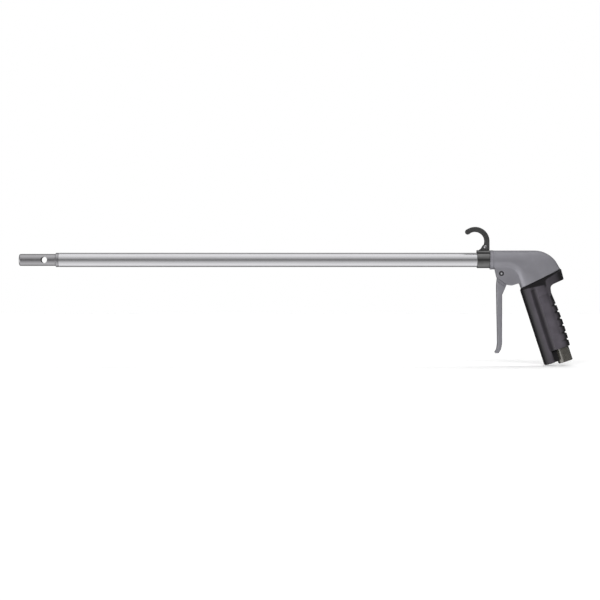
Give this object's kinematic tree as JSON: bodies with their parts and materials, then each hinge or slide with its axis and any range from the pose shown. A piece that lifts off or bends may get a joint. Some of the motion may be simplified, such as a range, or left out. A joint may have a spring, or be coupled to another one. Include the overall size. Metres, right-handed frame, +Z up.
{
  "type": "air blow gun",
  "caption": "Pistol-grip compressed-air blow gun with a long straight extension barrel, a vented safety nozzle, a hang hook, a long trigger lever and a cushioned grip.",
  "frame": {"origin": "centre of the air inlet's mouth, under the grip", "axes": "+X along the barrel from the nozzle towards the grip, +Z up (barrel level, grip hanging below it), +Y across"},
  "size_m": [0.7814, 0.0324, 0.1952],
  "materials": {
    "casting": "satin grey coat on die-cast aluminium",
    "trigger": "satin grey coat on die-cast aluminium",
    "tube": "drawn, clear anodised",
    "nozzle": "turned, satin",
    "brass": "machined",
    "collar": "glossy dark gunmetal",
    "hook": "semi-gloss black",
    "rivet": "bright",
    "pin": "polished",
    "ring": "black oxide",
    "stem": "ground",
    "spring": "spring wire",
    "seal": "black nitrile",
    "bushing": "black oxide, glossy",
    "screen": "perforated",
    "grip": "satin black cushion rubber"
  },
  "bodies": {
    "gun": {"gun_body": "casting", "grip_sleeve": "grip", "trigger_pin": "pin", "pin_rings": "ring", "valve_retainer": "brass", "valve_spring": "spring", "retainer_oring": "seal", "stem_oring": "seal", "inlet_bushing": "bushing", "inlet_gasket": "seal", "inlet_screen": "screen", "barrel_adapter": "brass", "barrel_oring": "seal", "extension_tube": "tube", "nozzle": "nozzle", "nozzle_oring": "seal", "nozzle_jet": "brass", "hook_collar": "collar", "hang_hook": "hook", "hook_rivet": "rivet"},
    "trigger": {"trigger_lever": "trigger"},
    "valve": {"valve_stem": "stem", "poppet_seal": "seal"}
  },
  "joints": [
    {"name": "trigger_pivot", "type": "hinge", "parent": "gun", "child": "trigger", "pos_m": [-0.09119, 0, 0.12417], "axis": [0, -1, 0], "range_deg": [0, 12], "stiffness_Nm_per_rad": 0.7, "springref_deg": -31.51},
    {"name": "valve_slide", "type": "slide", "parent": "gun", "child": "valve", "axis": [1, 0, 0], "range_m": [0, 0.00201], "deforming": ["valve_spring"]}
  ],
  "couplings": [
    {"joint": "valve_slide", "follows": "trigger_pivot", "m_per_rad": 0.0095}
  ]
}
